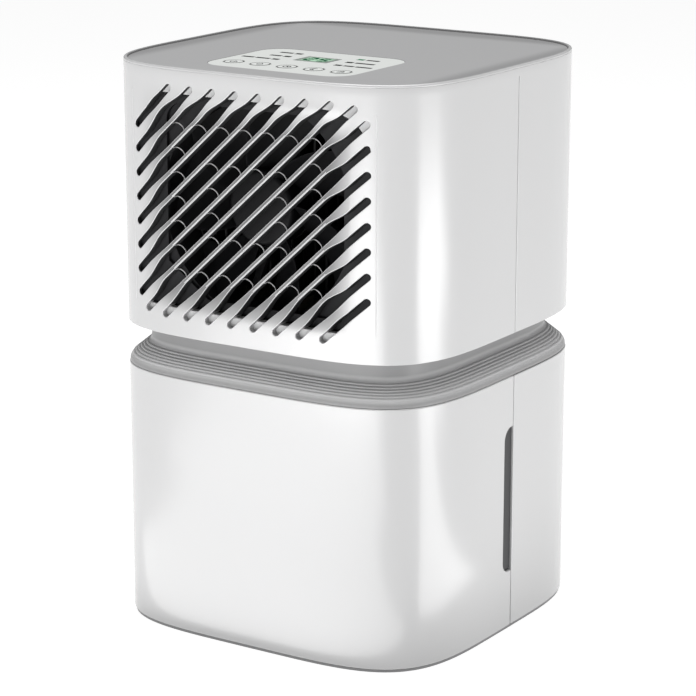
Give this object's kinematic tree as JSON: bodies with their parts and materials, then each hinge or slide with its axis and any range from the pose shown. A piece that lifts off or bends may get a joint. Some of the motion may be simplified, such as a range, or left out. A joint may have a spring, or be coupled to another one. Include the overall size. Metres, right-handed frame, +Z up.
{
  "type": "dehumidifier",
  "caption": "Countertop thermoelectric dehumidifier: round-cornered square tower with a diagonal-slot air grille, ribbed waist, top touch keys and a rear pull-out water tank with a level slit.",
  "frame": {"origin": "centre of the footprint, on the surface that the feet stand on", "axes": "+Z up; the grille and the control keys face -Y; +Y is the rear, where the tank pulls out; +X is the side to the right when seen from the front"},
  "size_m": [0.2, 0.197, 0.3033],
  "materials": {
    "housing_white": "satin-gloss moulded ABS, fine moulding texture",
    "trim_grey": "fine matte moulded ABS",
    "base_grey": "matte moulded ABS",
    "panel_light_grey": "matte printed overlay",
    "key_light_grey": "satin key caps with printed icons",
    "display_smoke": "smoked display window",
    "led_lens": "tinted light guides",
    "dark_plastic": "glass-filled dark plastic",
    "circuit_board": "solder-masked circuit board",
    "steel": "zinc-plated steel",
    "motor_copper": "copper winding on a laminated stator",
    "heatsink_aluminium": "extruded aluminium",
    "heatsink_black": "black-anodised extruded aluminium",
    "black_steel": "black-oxide steel",
    "ceramic_white": "alumina ceramic faces",
    "insulation_foam": "closed-cell foam",
    "tray_plastic": "natural polypropylene",
    "ribbon_grey": "flat ribbon insulation",
    "wire_black": "wire insulation",
    "wire_red": "wire insulation",
    "rubber_black": "soft moulded rubber",
    "tank_smoke": "smoked translucent styrene",
    "float_foam": "closed-cell foam"
  },
  "bodies": {
    "housing": {"upper_front_shell": "housing_white", "upper_rear_cover": "housing_white", "top_cover": "trim_grey", "control_panel": "panel_light_grey", "display_window": "display_smoke", "display_module": "dark_plastic", "led_guides": "led_lens", "control_board": "circuit_board", "tact_switches": "steel", "fan_shroud": "dark_plastic", "shroud_screws": "steel", "fan_frame": "dark_plastic", "fan_motor": "motor_copper", "fan_screws": "black_steel", "hot_heatsink": "heatsink_black", "peltier_module": "ceramic_white", "insulation_panel": "insulation_foam", "cold_heatsink": "heatsink_aluminium", "clamp_screws": "steel", "drip_tray": "tray_plastic", "main_board": "circuit_board", "board_parts": "dark_plastic", "dc_jack": "dark_plastic", "panel_ribbon": "ribbon_grey", "fan_cable": "wire_black", "cooler_leads": "wire_red", "power_leads": "wire_black", "waist_flange": "trim_grey", "waist_neck": "trim_grey", "waist_ribs": "trim_grey", "waist_floor": "trim_grey", "lower_front_shell": "housing_white", "chassis_frame": "trim_grey", "base_plate": "base_grey", "rubber_feet": "rubber_black", "case_screws": "steel", "housing_screws": "steel", "tank_sensor": "dark_plastic"},
    "fan_rotor": {"fan_rotor": "dark_plastic"},
    "water_tank": {"tank_tub": "tank_smoke", "tank_rear_cover": "housing_white", "lid_seal": "rubber_black", "float_pin": "steel"},
    "tank_lid": {"tank_lid": "trim_grey"},
    "drain_plug": {"drain_plug": "rubber_black"},
    "tank_float": {"float_arm": "tray_plastic", "float_block": "float_foam", "float_magnet": "steel"},
    "key_power": {"key_power": "key_light_grey"},
    "key_mode": {"key_mode": "key_light_grey"},
    "key_timer": {"key_timer": "key_light_grey"},
    "key_sleep": {"key_sleep": "key_light_grey"},
    "key_lock": {"key_lock": "key_light_grey"}
  },
  "joints": [
    {"name": "fan_spin", "type": "hinge", "parent": "housing", "child": "fan_rotor", "pos_m": [0, -0.075, 0.2332], "axis": [0, 1, 0], "continuous": true},
    {"name": "tank_slide", "type": "slide", "parent": "housing", "child": "water_tank", "axis": [0, 1, 0], "range_m": [0, 0.185]},
    {"name": "lid_lift", "type": "slide", "parent": "water_tank", "child": "tank_lid", "axis": [0, 0, 1], "range_m": [0, 0.01]},
    {"name": "plug_pull", "type": "slide", "parent": "tank_lid", "child": "drain_plug", "axis": [0, 0, 1], "range_m": [0, 0.006]},
    {"name": "float_rise", "type": "hinge", "parent": "water_tank", "child": "tank_float", "pos_m": [0, -0.059, 0.096], "axis": [1, 0, 0], "range_deg": [0, 25]},
    {"name": "key_power_press", "type": "slide", "parent": "housing", "child": "key_power", "axis": [0, 0, -1], "range_m": [0, 0.0008], "stiffness_N_per_m": 1500},
    {"name": "key_mode_press", "type": "slide", "parent": "housing", "child": "key_mode", "axis": [0, 0, -1], "range_m": [0, 0.0008], "stiffness_N_per_m": 1500},
    {"name": "key_timer_press", "type": "slide", "parent": "housing", "child": "key_timer", "axis": [0, 0, -1], "range_m": [0, 0.0008], "stiffness_N_per_m": 1500},
    {"name": "key_sleep_press", "type": "slide", "parent": "housing", "child": "key_sleep", "axis": [0, 0, -1], "range_m": [0, 0.0008], "stiffness_N_per_m": 1500},
    {"name": "key_lock_press", "type": "slide", "parent": "housing", "child": "key_lock", "axis": [0, 0, -1], "range_m": [0, 0.0008], "stiffness_N_per_m": 1500}
  ]
}
